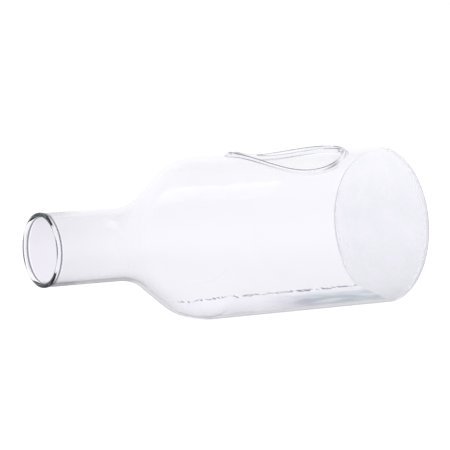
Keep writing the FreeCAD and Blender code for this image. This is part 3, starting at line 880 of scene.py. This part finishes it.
def base_material():
    """Flat base: its outer face and its side are ground, its heel is painted dark as shade, and its inner
    face is clear.
    """
    material, tree, output = new_material("base_glass")
    x, y, z, place = place_on_bottle(tree)
    out = from_axis(tree, y, z)
    limit = S["body"] + 0.5 * MM
    border = calculate(tree, "ADD", out, product(tree, noise(tree, place, 5 * MM, 3.0), 5 * MM))
    outer_face = smooth_step(tree, x, S["base_end"] - 0.5 * MM, S["base_end"] - 0.1 * MM)
    face = product(tree, outer_face, smooth_step(tree, border, limit + 0.4 * MM, limit - 0.4 * MM))
    side = smooth_step(tree, out, S["body"] - 0.6 * MM, S["body"] - 0.3 * MM)
    heel = product(tree, smooth_step(tree, x, S["base_end"] - HEEL, S["base_end"] - 0.6 * HEEL),
                   smooth_step(tree, out, S["body"] - HEEL, S["body"] - 0.6 * HEEL))
    mottled, grains = base_colours(tree, place, border, limit)
    colour = blend_colours(tree, outer_face, LILAC, mottled)
    colour = blend_colours(tree, side, colour, BASE_SIDE)
    # painted shade on the rounded heel
    colour = blend_colours(tree, heel, colour, EDGE_SHADE)
    ground = calculate(tree, "MAXIMUM", face, side)
    clearness = smooth_step(tree, side, 0.0, 1.0, smooth_step(tree, ground, 0.0, 1.0, 1.0, 0.85), 0.3)
    relief = bump(tree, product(tree, face, grains), 0.04 * MM)
    glass_shader(tree, output, colour, product(tree, ground, 0.2), clearness, normal=relief)
    return material


# ---------------------------------------------------------------- stage, lights and camera

FLOOR_HALF, FLOOR_LEVEL = 12.0, -0.2 * MM
DAYLIGHT = 0.75                          # brightness of the white studio
ROOM_LIGHT = 1.06                        # and of the room that the glass sees
WALL_AHEAD, WALL_BEHIND = (1, 0.998, 1.02, 1), (0.84, 0.83, 0.88, 1)
ALL_PALE = (0.97, 0.965, 0.99, 1)


def make_floor():
    """Plain paper just under the sole. The glass doesn't bend or mirror it."""
    mesh = bpy.data.meshes.new("floor")
    corners = [(along * FLOOR_HALF, across * FLOOR_HALF, FLOOR_LEVEL)
               for along, across in ((-1, -1), (1, -1), (1, 1), (-1, 1))]
    mesh.from_pydata(corners, [], [(0, 1, 2, 3)])
    floor = bpy.data.objects.new("floor", mesh)
    bpy.context.scene.collection.objects.link(floor)
    material, tree, output = new_material("floor_paper")
    paper = node(tree, "ShaderNodeBsdfPrincipled")
    paper.inputs["Base Color"].default_value = (0.9, 0.9, 0.9, 1)
    paper.inputs["Roughness"].default_value = 0.9
    paper.inputs["Specular IOR Level"].default_value = 0.0
    link(tree, paper.outputs[0], output.inputs["Surface"])
    mesh.materials.append(material)
    floor.visible_glossy = False
    floor.visible_transmission = False


def room_view(tree):
    """A direction's three parts as the camera has them: to its right, up and ahead."""
    turned = node(tree, "ShaderNodeVectorTransform", vector_type="VECTOR", convert_from="WORLD",
                  convert_to="CAMERA")
    link(tree, node(tree, "ShaderNodeTexCoord").outputs["Generated"], turned.inputs[0])
    return split_vector(tree, turned.outputs[0])


def make_world():
    """A white studio. The glass sees a room that turns with the camera instead: light that it bends comes
    from a white wall ahead with dark cards below and overhead and dim sides, light that it mirrors once
    from a soft fade, dim below and white above, and light that it mirrors more often is all pale."""
    world = bpy.data.worlds.new("studio")
    bpy.context.scene.world = world
    world.use_nodes = True
    tree = world.node_tree
    tree.nodes.clear()
    right, up, ahead = room_view(tree)
    mirrored_once = calculate(tree, "GREATER_THAN", ray(tree, "Glossy Depth"), 0.5)
    mirrored_twice = calculate(tree, "GREATER_THAN", ray(tree, "Glossy Depth"), 1.5)

    below = smooth_step(tree, up, -0.62, -0.44, 0.02, 1.0)
    overhead = smooth_step(tree, up, 0.75, 0.95, 1.0, 0.2)
    sides = smooth_step(tree, calculate(tree, "ABSOLUTE", right), 0.45, 0.62, 1.0, 0.35)
    fade = smooth_step(tree, up, -0.8, 0.0, 0.35, 1.0)
    cards = product(tree, below, overhead, sides, ROOM_LIGHT)
    brightness = smooth_step(tree, mirrored_once, 0.0, 1.0, cards, fade)
    brightness = smooth_step(tree, mirrored_twice, 0.0, 1.0, brightness, 1.0)
    paint = blend_colours(tree, smooth_step(tree, ahead, -0.3, 0.3), WALL_BEHIND, WALL_AHEAD)
    paint = blend_colours(tree, mirrored_twice, paint, ALL_PALE)

    studio, room = node(tree, "ShaderNodeBackground"), node(tree, "ShaderNodeBackground")
    link(tree, (1, 1, 1, 1), studio.inputs["Color"])
    link(tree, DAYLIGHT, studio.inputs["Strength"])
    link(tree, paint, room.inputs["Color"])
    link(tree, brightness, room.inputs["Strength"])
    by_glass = calculate(tree, "MAXIMUM", ray(tree, "Is Glossy Ray"), ray(tree, "Is Transmission Ray"))
    output = node(tree, "ShaderNodeOutputWorld")
    link(tree, blend_surfaces(tree, by_glass, studio.outputs[0], room.outputs[0]), output.inputs["Surface"])


def make_light(name, place, aim, size, power):
    """A round soft lamp. The glass doesn't show it."""
    data = bpy.data.lights.new(name, "AREA")
    data.shape = "DISK"
    data.size = size
    data.energy = power
    light = bpy.data.objects.new(name, data)
    light.location = place
    light.rotation_mode = "QUATERNION"
    light.rotation_quaternion = (Vector(aim) - Vector(place)).to_track_quat("-Z", "Y")
    light.visible_glossy = False
    light.visible_transmission = False
    bpy.context.scene.collection.objects.link(light)


CAMERA_AZIMUTH = math.radians(33.7)      # the view runs towards +Y, turned this far to +X
CAMERA_TILT = math.radians(12.3)         # and down
CAMERA_ROLL = math.radians(3.9)          # the right-hand side of the picture dips by this
CAMERA_DISTANCE = 1.804
CAMERA_LENS = 189.1                      # in millimetres, on a sensor 36 mm wide
CAMERA_AIM = Vector((4.3, -1.4, 67.9)) * MM


def make_camera():
    """The camera at the photograph's viewing angle: in front of the mouth's side, a little above."""
    forward = Vector((math.sin(CAMERA_AZIMUTH) * math.cos(CAMERA_TILT),
                      math.cos(CAMERA_AZIMUTH) * math.cos(CAMERA_TILT), -math.sin(CAMERA_TILT)))
    data = bpy.data.cameras.new("camera")
    data.lens = CAMERA_LENS
    data.sensor_width = 36
    camera = bpy.data.objects.new("camera", data)
    level = forward.to_track_quat("-Z", "Y").to_matrix()
    roll = Matrix.Rotation(CAMERA_ROLL, 3, "Z")
    camera.matrix_world = (level @ roll).to_4x4()
    camera.location = CAMERA_AIM - forward * CAMERA_DISTANCE
    bpy.context.scene.collection.objects.link(camera)
    bpy.context.scene.camera = camera


# ---------------------------------------------------------------- the object

weld = weld_material()
wall_glass = [wall_material(), weld]
edge_glass = [edge_material(), weld]
base_glass = [base_material(), weld]

lip = lip_piece("glass_lip", edge_glass)
neck = tube_piece("glass_neck", S["lip_seam"], S["neck_end"], wall_glass)
shoulder = tube_piece("glass_shoulder", S["neck_end"], S["body_start"], wall_glass)
body, loop_count = body_piece("glass_body", wall_glass)
rim = rim_piece("glass_rim", loop_count, edge_glass)
base = base_piece("glass_base", base_glass)
for piece, cad_node, slot_name in ((lip, "mouth_lip", "polished_edge"),
                                   (neck, "neck_tube", "clear_glass"),
                                   (shoulder, "shoulder", "clear_glass"),
                                   (body, "body_tube", "clear_glass"),
                                   (rim, "opening_rim", "polished_edge"),
                                   (base, "base_disc", "matte_glass")):
    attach(piece, "root")
    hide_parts(cad_node)

make_floor()
make_world()
make_light("key", (-1.2, -1.6, 3.0), (0, 0, 0.06), 2.5, 55)
make_light("fill", (2.0, 1.0, 2.6), (0, 0, 0.06), 2.5, 30)
make_camera()
bpy.context.scene.view_settings.view_transform = "Standard"
for kind in ("max_bounces", "transmission_bounces", "glossy_bounces", "transparent_max_bounces"):
    setattr(bpy.context.scene.cycles, kind, 96)   # light crosses many faces on its way through the bottle
